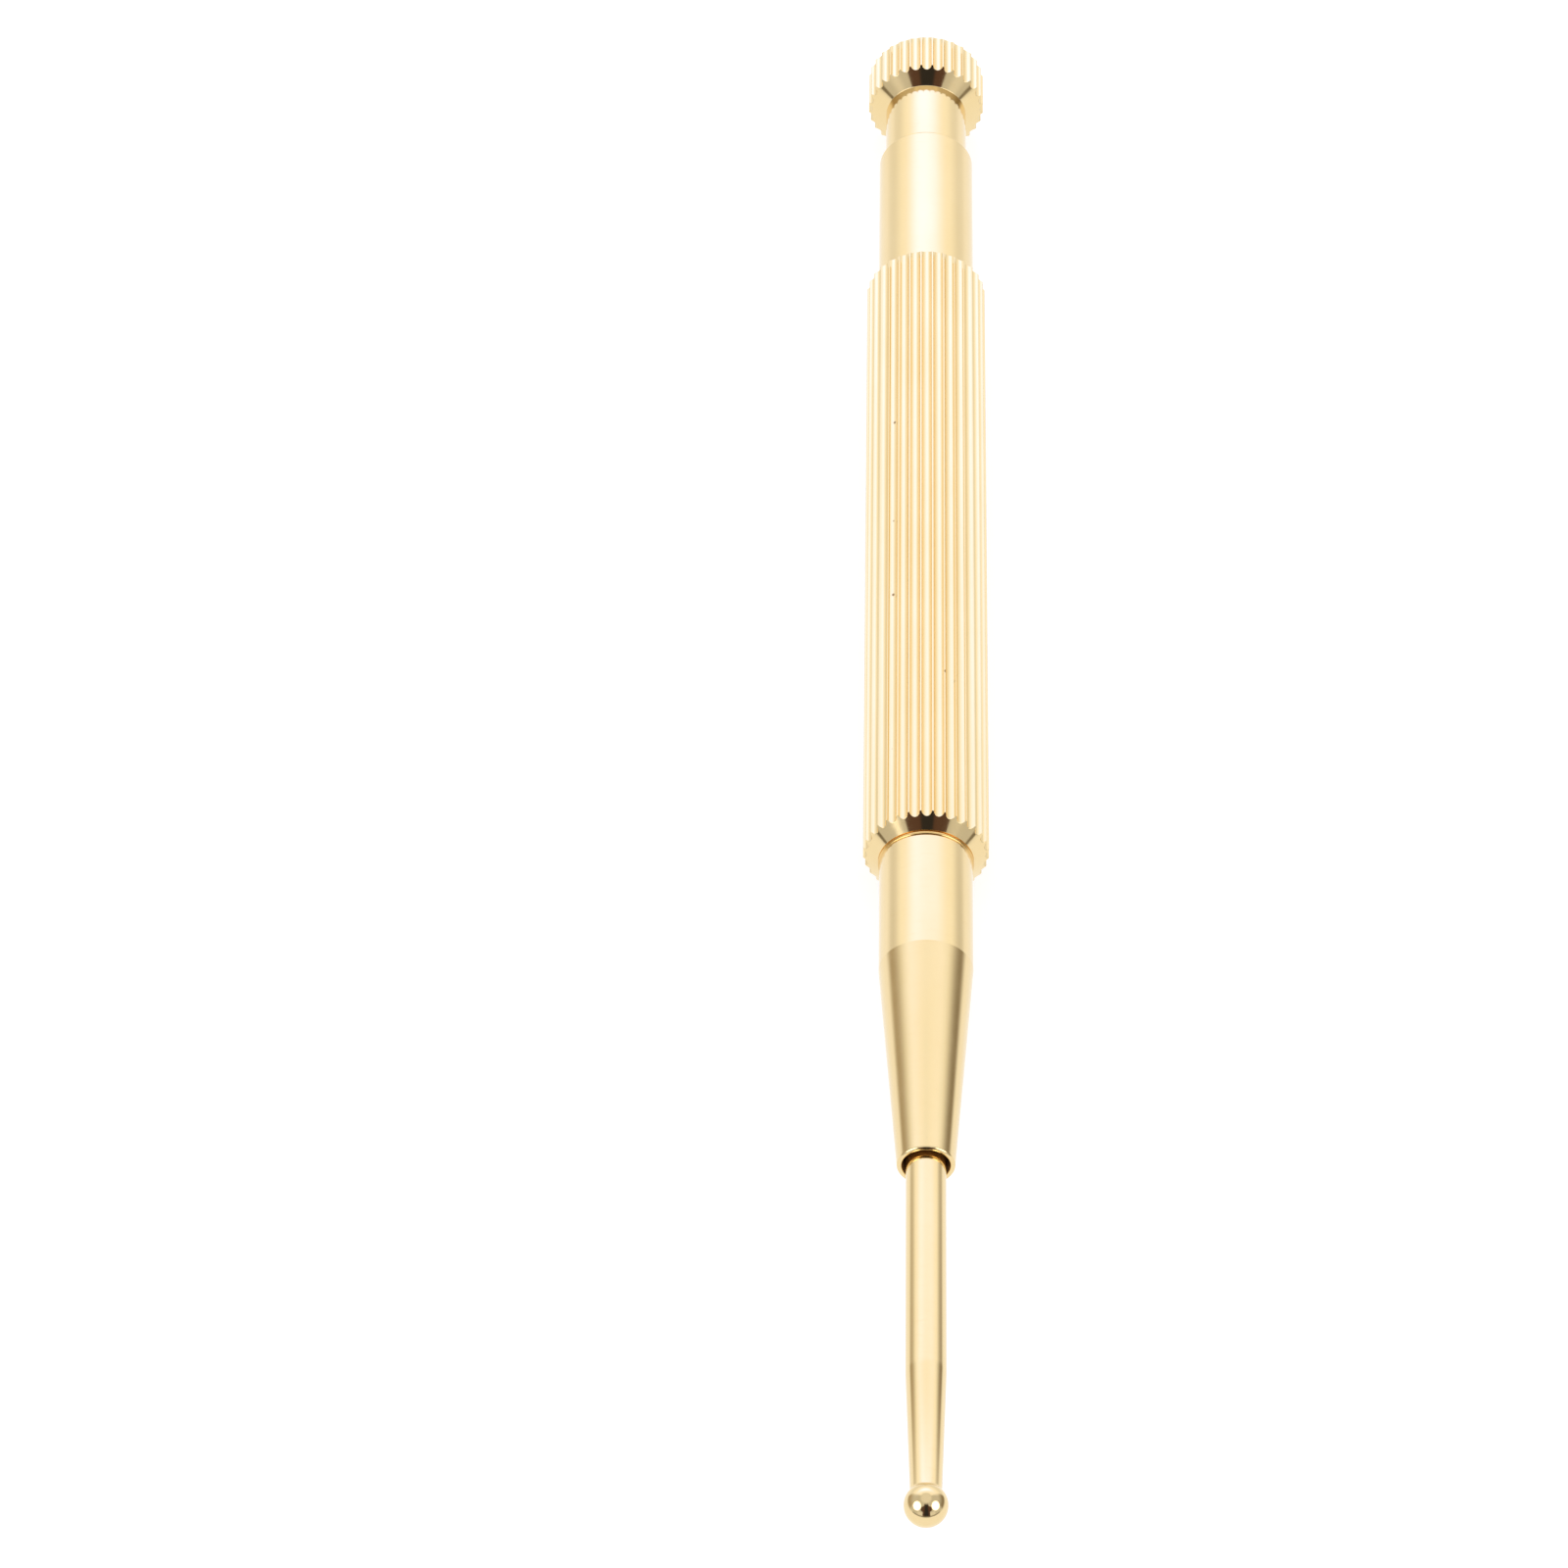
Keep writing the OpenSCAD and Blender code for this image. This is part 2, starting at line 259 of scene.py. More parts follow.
def turned(name, outline_at, material, columns, closed):
    """A turned piece. columns holds (turn, crest radius) round the axis, and outline_at(crest
    radius) gives the outline there. A closed outline makes a tube, and an open one starts and ends
    on the axis, where it is closed with a fan of triangles."""
    outlines = [rounded_outline(outline_at(crest), closed) for _, crest in columns]
    kept = slice(None) if closed else slice(1, -1)
    per = len(outlines[0][kept])
    count = len(columns)
    rings = [
        [to_frame(a, r, turn) for a, r, _ in outline[kept]]
        for (turn, _), outline in zip(columns, outlines)
    ]
    points, normals, faces = [], [], []
    for i, ((turn, _), outline) in enumerate(zip(columns, outlines)):
        for j, (_, _, way) in enumerate(outline[kept]):
            left, here, right = rings[i - 1][j], rings[i][j], rings[(i + 1) % count][j]
            points.append(here)
            normals.append(surface_normal(left, here, right, turn, way))
        here, there = i * per, (i + 1) % count * per
        for j in range(per if closed else per - 1):
            k = (j + 1) % per
            faces.append((here + j, there + j, there + k, here + k))
    if not closed:
        front, rear = len(points), len(points) + 1
        points += [to_frame(outlines[0][0][0], 0, 0), to_frame(outlines[0][-1][0], 0, 0)]
        normals += [(0, -1, 0), (0, 1, 0)]
        for i in range(count):
            here, there = i * per, (i + 1) % count * per
            faces.append((front, there, here))
            faces.append((rear, here + per - 1, there + per - 1))
    return add_mesh(name, points, faces, material, normals)


def round_columns():
    return [(2 * math.pi * i / ROUND_COLUMNS, 0) for i in range(ROUND_COLUMNS)]


def flute_columns(seed):
    """(turn, radius) round a fluted bar. No two of its round grooves are cut quite alike."""
    rng = random.Random(seed)
    pitch = 2 * math.pi / FLUTES
    columns = []
    for i in range(FLUTES):
        depth = FLUTE_DEPTH * rng.uniform(0.93, 1.03)
        middle = pitch * (i + rng.uniform(-0.012, 0.012))
        mouth = 2 * GRIP_R * math.sin(pitch / 2) - FLUTE_LAND * rng.uniform(0.8, 1.25)
        groove_r = ((mouth / 2) ** 2 + depth**2) / (2 * depth)
        centre = GRIP_R - depth + groove_r
        # the crest's edge is an arc inside the bar's circle that touches it and the groove
        inner, outer = GRIP_R - CREST_ROUND, groove_r + CREST_ROUND
        crest = math.acos((inner**2 + centre**2 - outer**2) / (2 * centre * inner))
        crest_x, crest_y = inner * math.sin(crest), inner * math.cos(crest)
        touch = math.atan2(crest_x, centre - crest_y)
        right = []
        for k in range(GROOVE_STEPS + 1):
            a = touch * k / GROOVE_STEPS
            right.append((groove_r * math.sin(a), centre - groove_r * math.cos(a)))
        # round the crest, from the groove's tangent point to the bar's
        first = math.atan2(right[-1][1] - crest_y, right[-1][0] - crest_x)
        last = math.pi / 2 - crest
        turn = last - first
        for k in range(1, CREST_STEPS + 1):
            a = first + turn * k / CREST_STEPS
            right.append(
                (crest_x + CREST_ROUND * math.cos(a), crest_y + CREST_ROUND * math.sin(a))
            )
        polar = [(math.atan2(x, y), math.hypot(x, y)) for x, y in right]
        columns += [(middle - t, r) for t, r in reversed(polar[1:])]
        columns += [(middle + t, r) for t, r in polar]
    return columns


def thread_rings(start, end):
    """Outline corners of a fine thread drawn as plain rings between two stations."""
    count = int((end - start) / THREAD_PITCH) - 1
    first = start + ((end - start) - count * THREAD_PITCH) / 2
    corners = []
    for i in range(count):
        at = first + i * THREAD_PITCH
        corners += [
            (at, THREAD_R, CRISP),
            (at + 0.45 * THREAD_PITCH, THREAD_R - THREAD_DEPTH, CRISP),
            (at + 0.9 * THREAD_PITCH, THREAD_R, CRISP),
        ]
    return corners


# ---------------------------------------------------------------- materials


class Nodes:
    """A short way to write a node tree."""

    def __init__(self, tree):
        self.tree = tree

    def add(self, kind, inputs=None, **settings):
        node = self.tree.nodes.new(kind)
        for key, value in settings.items():
            setattr(node, key, value)
        for key, value in (inputs or {}).items():
            if isinstance(value, bpy.types.NodeSocket):
                self.tree.links.new(value, node.inputs[key])
            else:
                node.inputs[key].default_value = value
        return node

    def math(self, operation, first, second=0.0):
        return self.add("ShaderNodeMath", {0: first, 1: second}, operation=operation).outputs[0]

    def vector_math(self, operation, first, second):
        return self.add("ShaderNodeVectorMath", {0: first, 1: second}, operation=operation).outputs

    def scaled(self, point, scale):
        return self.vector_math("MULTIPLY", point, scale)[0]

    def noise(self, point, scale, detail=3.0, roughness=0.55):
        """Smooth noise from 0 to 1, with its own scale along each axis, in features per metre."""
        inputs = {"Scale": 1.0, "Detail": detail, "Roughness": roughness}
        inputs["Vector"] = self.scaled(point, scale)
        return self.add("ShaderNodeTexNoise", inputs, normalize=True).outputs["Fac"]

    def cells(self, point, scale):
        """Voronoi cells, with their own scale along each axis, in cells per metre."""
        inputs = {"Vector": self.scaled(point, scale), "Scale": 1.0, "Randomness": 1.0}
        return self.add("ShaderNodeTexVoronoi", inputs).outputs

    def remap(self, value, low, high, to_low, to_high):
        inputs = {"From Min": low, "From Max": high, "To Min": to_low, "To Max": to_high}
        inputs["Value"] = value
        return self.add("ShaderNodeMapRange", inputs, clamp=True).outputs["Result"]

    def mix(self, share, first, second):
        inputs = {0: share, 6: first, 7: second}
        return self.add("ShaderNodeMix", inputs, data_type="RGBA").outputs[2]


class Surface(Nodes):
    """A material, its node tree and its shader."""

    def __init__(self, name):
        self.material = bpy.data.materials.new(name)
        self.material.use_nodes = True
        super().__init__(self.material.node_tree)
        self.shader = self.tree.nodes["Principled BSDF"]

    def place(self):
        """A point of the piece in metres, with its height measured from the tool's axis."""
        point = self.add("ShaderNodeTexCoord").outputs["Object"]
        return self.vector_math("ADD", point, (0, 0, -AXIS_Z))[0]

    def bump(self, height, distance, normal=None):
        inputs = {"Height": height, "Distance": distance, "Strength": 1.0}
        if normal is not None:
            inputs["Normal"] = normal
        return self.add("ShaderNodeBump", inputs).outputs["Normal"]

    def wire(self, socket, value):
        self.tree.links.new(value, self.shader.inputs[socket])

    def set(self, **values):
        for key, value in values.items():
            self.shader.inputs[key.replace("_", " ")].default_value = value


def colour(r, g, b):
    return (r, g, b, 1.0)


def plated_gold(name, along, across, mark_depth, smooth, specks):
    """Gold-plated brass. along and across are how fine its tool marks are in each direction, in
    marks per metre, mark_depth is their height in metres, smooth is its lowest roughness, and
    specks is the share of cells with a pit."""
    n = Surface(name)
    point = n.place()
    n.set(Metallic=1.0)

    # a faint change of tone over the plating, and warmer gold where it is thin
    cloud = n.noise(point, (260, 120, 260), detail=4)
    streak = n.noise(point, (across, along, across), detail=4, roughness=0.6)
    pale, full = colour(0.895, 0.705, 0.392), colour(0.880, 0.685, 0.365)
    thin, pitted = colour(0.86, 0.63, 0.30), colour(0.30, 0.17, 0.07)
    tone = n.mix(n.remap(cloud, 0.35, 0.65, 0, 1), pale, full)
    tone = n.mix(n.remap(streak, 0.55, 0.75, 0, 0.35), tone, thin)

    # small dark pits in the plating, drawn out a little along the tool
    cell = n.cells(point, (900, 620, 900))
    lottery = n.add("ShaderNodeSeparateColor", {0: cell["Color"]}).outputs[0]
    chosen = n.math("LESS_THAN", lottery, specks)
    near = n.remap(cell["Distance"], 0.05, 0.10, 1, 0)
    pit = n.math("MULTIPLY", chosen, near)
    tone = n.mix(n.math("MULTIPLY", pit, 0.8), tone, pitted)
    n.wire("Base Color", tone)

    wear = n.noise(point, (1500, 700, 1500), detail=5, roughness=0.65)
    rough = n.remap(wear, 0.3, 0.7, smooth, smooth + 0.05)
    rough = n.math("ADD", rough, n.math("MULTIPLY", pit, 0.4))
    n.wire("Roughness", rough)

    marks = n.bump(streak, mark_depth)
    waviness = n.noise(point, (500, 330, 500), detail=2)
    n.wire("Normal", n.bump(waviness, 0.9e-6, normal=marks))
    return n.material


def bare_metal(name, light, dark, along, across, mark_depth, smooth, metallic=1.0):
    """Unplated turned metal with tool marks and a blotchy film of oil and oxide."""
    n = Surface(name)
    point = n.place()
    n.set(Metallic=metallic)
    film = n.noise(point, (700, 700, 700), detail=5, roughness=0.6)
    streak = n.noise(point, (across, along, across), detail=3)
    tone = n.mix(n.remap(film, 0.35, 0.7, 0, 1), light, dark)
    tone = n.mix(n.remap(streak, 0.5, 0.8, 0, 0.5), tone, dark)
    n.wire("Base Color", tone)
    n.wire("Roughness", n.remap(film, 0.3, 0.7, smooth, smooth + 0.15))
    n.wire("Normal", n.bump(streak, mark_depth))
    return n.material


def sintered_bronze():
    """Porous oil-filled bronze of a plain bush."""
    n = Surface("sintered_bronze")
    point = n.place()
    n.set(Metallic=1.0)
    grain = n.noise(point, (6000, 6000, 6000), detail=5, roughness=0.7)
    hole = n.remap(n.cells(point, (9000, 9000, 9000))["Distance"], 0.12, 0.3, 1, 0)
    dark, light, pore = colour(0.50, 0.29, 0.14), colour(0.70, 0.46, 0.26), colour(0.10, 0.06, 0.04)
    tone = n.mix(n.remap(grain, 0.3, 0.7, 0, 1), dark, light)
    tone = n.mix(n.math("MULTIPLY", hole, 0.7), tone, pore)
    n.wire("Base Color", tone)
    n.wire("Roughness", n.remap(grain, 0.3, 0.7, 0.35, 0.6))
    n.wire("Normal", n.bump(n.math("SUBTRACT", grain, hole), 8e-6))
    return n.material


def natural_nylon():
    """Slightly waxy unfilled nylon."""
    n = Surface("natural_nylon")
    point = n.place()
    n.set(IOR=1.53, Subsurface_Weight=0.25, Subsurface_Scale=0.0006)
    n.shader.inputs["Subsurface Radius"].default_value = (1.0, 0.9, 0.7)
    cloud = n.noise(point, (1500, 1500, 1500), detail=4)
    scuff = n.noise(point, (4000, 9000, 4000), detail=4, roughness=0.7)
    waxy, milky = colour(0.82, 0.78, 0.66), colour(0.88, 0.85, 0.76)
    n.wire("Base Color", n.mix(n.remap(cloud, 0.3, 0.7, 0, 1), waxy, milky))
    n.wire("Roughness", n.remap(scuff, 0.3, 0.7, 0.38, 0.55))
    n.wire("Normal", n.bump(scuff, 3e-6))
    return n.material


GOLD_TURNED = plated_gold("gold_turned", 9000, 900, 0.18e-6, 0.07, 0.01)
GOLD_BRUSHED = plated_gold("gold_cone", 12000, 1100, 0.40e-6, 0.12, 0.02)
GOLD_FLUTED = plated_gold("gold_fluted", 120, 5200, 0.7e-6, 0.09, 0.10)
GOLD_KNOB = plated_gold("gold_knob", 600, 3000, 0.4e-6, 0.08, 0.03)

BRASS_LIGHT, BRASS_DARK = colour(0.86, 0.64, 0.30), colour(0.62, 0.42, 0.17)
STEEL_LIGHT, STEEL_DARK = colour(0.60, 0.60, 0.61), colour(0.42, 0.41, 0.40)
WIRE_LIGHT, WIRE_DARK = colour(0.52, 0.53, 0.55), colour(0.30, 0.29, 0.28)
# the bore's colours: a darker brown than the gold, painted shade for the inside of the bore
BORE_SHADE_LIGHT, BORE_SHADE_DARK = colour(0.50, 0.29, 0.13), colour(0.34, 0.18, 0.07)
SEAM_LIGHT, SEAM_DARK = colour(0.84, 0.57, 0.24), colour(0.74, 0.47, 0.16)

BARE_BRASS = bare_metal("bare_brass", BRASS_LIGHT, BRASS_DARK, 9000, 800, 1.5e-6, 0.18)
HARD_STEEL = bare_metal("hard_steel", STEEL_LIGHT, STEEL_DARK, 11000, 900, 1.2e-6, 0.16)
SPRING_STEEL = bare_metal("spring_steel", WIRE_LIGHT, WIRE_DARK, 2500, 2500, 1.5e-6, 0.22)
# the bore's material: rougher than the gold, and darker brown as painted shade inside the bore
SHADED_BORE = bare_metal(
    "bore_painted_shade", BORE_SHADE_LIGHT, BORE_SHADE_DARK, 9000, 800, 1.5e-6, 0.42, metallic=0.5
)
SEAM_GOLD = bare_metal("seam_gold", SEAM_LIGHT, SEAM_DARK, 9000, 700, 0.4e-6, 0.10)
BRONZE = sintered_bronze()
NYLON = natural_nylon()

# ---------------------------------------------------------------- the gold pieces


def finish_piece(piece, body, slot, *nodes):
    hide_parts(*nodes)
    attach(piece, body)


def station(face):
    """Where the middle of a face is along the tool, in millimetres."""
    return (face.center.y - TIP_Y) / MM


def build_probe_rod():
    """Ball, fillet, taper and rod, turned in one piece."""
    fillet_at = BALL_R + math.sqrt((BALL_R + NECK_FILLET) ** 2 - (NECK_R + NECK_FILLET) ** 2)
    meet = math.atan2(NECK_R + NECK_FILLET, fillet_at - BALL_R)
    ball = [
        (BALL_R - BALL_R * math.cos(a), BALL_R * math.sin(a), 0)
        for a in ((math.pi - meet) * i / BALL_STEPS for i in range(BALL_STEPS + 1))
    ]
    fillet = [
        (fillet_at - NECK_FILLET * math.cos(a), NECK_R + NECK_FILLET * (1 - math.sin(a)), 0)
        for a in (
            meet + (math.pi / 2 - meet) * i / FILLET_STEPS for i in range(1, FILLET_STEPS + 1)
        )
    ]
    corners = ball + fillet + [
        (TAPER_END, ROD_R, TAPER_EDGE),
        (ROD_END - ROD_CHAMFER, ROD_R, SOFT),
        (ROD_END, ROD_R - ROD_CHAMFER, SOFT),
        (ROD_END, 0, 0),
    ]
    piece = turned("probe_rod_gold", lambda _: corners, GOLD_TURNED, round_columns(), closed=False)
    finish_piece(piece, "probe", "gold_plate", "probe_rod")


def build_nose():
    """Collar and hollow cone, with the thread that screws into the grip."""
    relief_end = SHOULDER + RELIEF_L
    corners = [
        (MOUTH, MOUTH_BORE_R, MOUTH_BORE_EDGE),
        (MOUTH, MOUTH_R, MOUTH_EDGE),
        (CONE_END, COLLAR_R, CONE_EDGE),
        (SHOULDER, COLLAR_R, NEAT),
        (SHOULDER, RELIEF_R, CRISP),
        (relief_end, RELIEF_R, SOFT),
    ]
    corners += thread_rings(relief_end, NOSE_END)
    corners += [
        (NOSE_END - THREAD_LEAD, THREAD_R, TIGHT),
        (NOSE_END, THREAD_R - THREAD_LEAD, TIGHT),
        (NOSE_END, NOSE_BORE_R, CRISP),
        (BUSH_END, NOSE_BORE_R, 0),
        (BUSH_END, BUSH_R, 0),
        (BUSH_START, BUSH_R, 0),
        (BUSH_START, MOUTH_BORE_R, TIGHT),
    ]
    piece = turned("nose_cone_gold", lambda _: corners, GOLD_BRUSHED, round_columns(), closed=True)
    piece.data.materials.append(GOLD_TURNED)
    piece.data.materials.append(SHADED_BORE)
    # the collar and the rim of the mouth are polished, the cone keeps its finer turning marks, and
    # the front bore, the bush's seat and the thread are left dull, and are painted a darker brown
    # as painted shade inside the bore
    for face in piece.data.polygons:
        along = station(face)
        radius = math.hypot(face.center.x, face.center.z - AXIS_Z) / MM
        in_mouth = radius < MOUTH_BORE_R + 0.03
        in_bush_seat = BUSH_START < along < BUSH_END and radius < BUSH_R + 0.01
        if in_mouth or in_bush_seat or along > SHOULDER:
            face.material_index = 2
        elif along > CONE_END or along < MOUTH + 0.3:
            face.material_index = 1
    finish_piece(piece, "barrel", "gold_plate", "nose_cone")


def build_seam_ring():
    """Thin round-edged ring between the nose and the grip."""
    rim = (GRIP_START - SHOULDER) / 2
    corners = [
        (SHOULDER, TAP_R, 0),
        (SHOULDER, SEAM_R, rim),
        (GRIP_START, SEAM_R, rim),
        (GRIP_START, TAP_R, 0),
    ]
    piece = turned("seam_ring_brass", lambda _: corners, SEAM_GOLD, round_columns(), closed=True)
    finish_piece(piece, "barrel", "bare_brass", "seam_ring")


def build_grip():
    """Fluted grip. Each bevel cuts the flutes back, which leaves its edge scalloped."""

    def outline(crest):
        front_slope = GRIP_BEVEL_L / (GRIP_R - GRIP_FRONT_FACE_R)
        rear_slope = GRIP_REAR_BEVEL_L / (GRIP_R - GRIP_REAR_FACE_R)
        return [
            (GRIP_START, TAP_R, SOFT),
            (GRIP_START, GRIP_FRONT_FACE_R, TIGHT),
            (GRIP_START + (crest - GRIP_FRONT_FACE_R) * front_slope, crest, BEVEL_EDGE),
            (GRIP_END - (crest - GRIP_REAR_FACE_R) * rear_slope, crest, BEVEL_EDGE),
            (GRIP_END, GRIP_REAR_FACE_R, TIGHT),
            (GRIP_END, TAP_R, SOFT),
            (GRIP_END - TAP_REAR_L, TAP_R, 0),
            (GRIP_END - TAP_REAR_L, GRIP_BORE_R, SOFT),
            (GRIP_START + TAP_FRONT_L, GRIP_BORE_R, SOFT),
            (GRIP_START + TAP_FRONT_L, TAP_R, 0),
        ]

    piece = turned("grip_sleeve_gold", outline, GOLD_FLUTED, flute_columns(7), closed=True)
    piece.data.materials.append(GOLD_TURNED)
    # the bevels and end faces are turned bright after the flutes are cut
    for face in piece.data.polygons:
        along = station(face)
        end_normal = abs(face.normal.y) > 0.5
        face.material_index = 1 if end_normal or not GRIP_START < along < GRIP_END else 0
    finish_piece(piece, "barrel", "gold_plate", "grip_sleeve")


def build_tail():
    """Smooth barrel behind the grip: a thread in front, and a bore for the stem behind."""
    relief_start = GRIP_END - RELIEF_L
    corners = [
        (TAIL_START, STUD_CLEARANCE_R, SOFT),
        (TAIL_START, THREAD_R - THREAD_LEAD, TIGHT),
        (TAIL_START + THREAD_LEAD, THREAD_R, TIGHT),
    ]
    corners += thread_rings(TAIL_START, relief_start)
    corners += [
        (relief_start, RELIEF_R, CRISP),
        (GRIP_END, RELIEF_R, CRISP),
        (GRIP_END, TAIL_R, SOFT),
        (TAIL_END, TAIL_R, TAIL_EDGE),
        (TAIL_END, STEM_BORE_R, SOFT),
        (STEM_BORE_START, STEM_BORE_R, 0),
        (STEM_BORE_START, STUD_CLEARANCE_R, SOFT),
    ]
    piece = turned("tail_barrel_gold", lambda _: corners, GOLD_TURNED, round_columns(), closed=True)
    finish_piece(piece, "barrel", "gold_plate", "tail_barrel")


def build_knob():
    """Fluted knob and its smooth stem, with the blind hole that holds the stud."""

    def outline(crest):
        front_slope = KNOB_BEVEL_L / (GRIP_R - STEM_R)
        rear_face_r = GRIP_R - KNOB_REAR_BEVEL
        return [
            (STUD_END, 0, 0),
            (STUD_END, STUD_R, TIGHT),
            (STEM_START, STUD_R, CRISP),
            (STEM_START, STEM_R - STEM_CHAMFER, CRISP),
            (STEM_START + STEM_CHAMFER, STEM_R, NEAT),
            (KNOB_START, STEM_R, NEAT),
            (KNOB_START + (crest - STEM_R) * front_slope, crest, BEVEL_EDGE),
            (KNOB_END - (crest - rear_face_r), crest, BEVEL_EDGE),
            (KNOB_END, rear_face_r, SOFT),
            (KNOB_END, 0, 0),
        ]

    piece = turned("adjuster_knob_gold", outline, GOLD_KNOB, flute_columns(11), closed=False)
    piece.data.materials.append(GOLD_TURNED)
    for face in piece.data.polygons:
        along = station(face)
        face.material_index = 1 if along < KNOB_START or abs(face.normal.y) > 0.5 else 0
    finish_piece(piece, "knob", "gold_plate", "adjuster_knob")


# ---------------------------------------------------------------- the spring


def coil_centre(turns):
    """Station of the wire's centre after a number of turns: closed, open, then closed coils."""
    wire = 2 * WIRE_R
    length = SPRING_END - SPRING_START
    rise = (length - (2 * CLOSED_COILS + 1) * wire) / OPEN_COILS
    closed = min(turns, CLOSED_COILS) + max(0, turns - CLOSED_COILS - OPEN_COILS)
    opened = min(max(turns - CLOSED_COILS, 0), OPEN_COILS)
    return SPRING_START + WIRE_R + closed * wire + opened * rise


def spring_half(name, first_turn, last_turn):
    """Half of the pressure spring, as a coil of wire."""
    mean_r = COIL_OUTER_R - WIRE_R
    steps = round((last_turn - first_turn) * WIRE_STEPS_PER_TURN)
    points = []
    for i in range(steps + 1):
        turns = first_turn + (last_turn - first_turn) * i / steps
        for k in range(WIRE_SIDES):
            side = 2 * math.pi * k / WIRE_SIDES
            along = coil_centre(turns) + WIRE_DRAWN_R * math.sin(side)
            radius = mean_r + WIRE_DRAWN_R * math.cos(side)
            points.append(to_frame(along, radius, 2 * math.pi * turns))
    last_ring = steps * WIRE_SIDES
    faces = [
        tuple(range(WIRE_SIDES)),
        tuple(last_ring + k for k in reversed(range(WIRE_SIDES))),
    ]
    for i in range(steps):
        here, there = i * WIRE_SIDES, (i + 1) * WIRE_SIDES
        for k in range(WIRE_SIDES):
            following = (k + 1) % WIRE_SIDES
            faces.append((here + k, there + k, there + following, here + following))
    return add_mesh(name, points, faces, SPRING_STEEL)


def build_spring():
    """Two halves that meet at the spring's middle. The front one only ever shortens; it is fixed to
    the barrel with a mesh of its own. The rear one has to lengthen too as the knob is screwed out;
    it is left in place in the frame's axes."""
    turns = OPEN_COILS + 2 * CLOSED_COILS

    front = spring_half("pressure_spring_front", 0, turns / 2)
    finish_piece(front, "barrel", "spring_steel", "pressure_spring")
    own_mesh(front)

    rear = spring_half("pressure_spring_rear", turns / 2, turns)
    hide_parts("pressure_spring")
    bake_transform(rear)


# ---------------------------------------------------------------- hidden pieces in their CAD shape

HIDDEN_MATERIALS = {
    "rod_collar": BARE_BRASS,
    "collar_pin": HARD_STEEL,
    "thrust_washer": HARD_STEEL,
    "guide_bush": BRONZE,
    "bump_washer": NYLON,
    "spring_follower": BARE_BRASS,
    "thrust_ball": HARD_STEEL,
    "adjuster_stud": HARD_STEEL,
    "stud_clip": SPRING_STEEL,
    "stud_pin": HARD_STEEL,
}


def paint_hidden_pieces():
    for node, material in HIDDEN_MATERIALS.items():
        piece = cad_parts[node]
        piece.data.materials.clear()
        piece.data.materials.append(material)


# ---------------------------------------------------------------- floor, light and camera

# The camera looks along the tool from in front of the ball and a little to -X of it. Angles are in
# degrees, and distances, the lens and its sensor in millimetres.
CAMERA_ELEVATION = 47.0
CAMERA_DISTANCE = 457.7
CAMERA_LENS = 165.15
CAMERA_SENSOR = 36.0
CAMERA_YAW = 0.77
AIM_ALONG = 58.62
CAMERA_SIDE = -4.84

TABLE_HALF_M = 3.0


def add_camera():
    elevation = math.radians(CAMERA_ELEVATION)
    data = bpy.data.cameras.new("camera")
    data.lens, data.sensor_width = CAMERA_LENS, CAMERA_SENSOR
    data.clip_start, data.clip_end = 0.01, 10.0
    camera = bpy.data.objects.new("camera", data)
    camera.location = (
        CAMERA_SIDE * MM,
        TIP_Y + (AIM_ALONG - CAMERA_DISTANCE * math.cos(elevation)) * MM,
        AXIS_Z + CAMERA_DISTANCE * math.sin(elevation) * MM,
    )
    camera.rotation_euler = (math.pi / 2 - elevation, 0, math.radians(CAMERA_YAW))
    bpy.context.scene.collection.objects.link(camera)
    bpy.context.scene.camera = camera


def add_floor():
    """A lit white table, bright enough that the tool hardly shades it."""
    n = Surface("white_table")
    point = n.place()
    grain = n.noise(point, (900, 900, 900), detail=3)
    n.wire("Base Color", n.mix(grain, colour(0.44, 0.44, 0.44), colour(0.47, 0.47, 0.47)))
    n.set(Roughness=0.9, Specular_IOR_Level=0.0, Emission_Strength=0.68)
    n.shader.inputs["Emission Color"].default_value = colour(1.0, 1.0, 1.0)
    half = TABLE_HALF_M
    corners = [(-half, -half, 0), (half, -half, 0), (half, half, 0), (-half, half, 0)]
    floor = add_mesh("white_table", corners, [(0, 1, 2, 3)], n.material)
    # the metal mirrors the table through the room below, which dims towards the horizon
    floor.visible_glossy = False


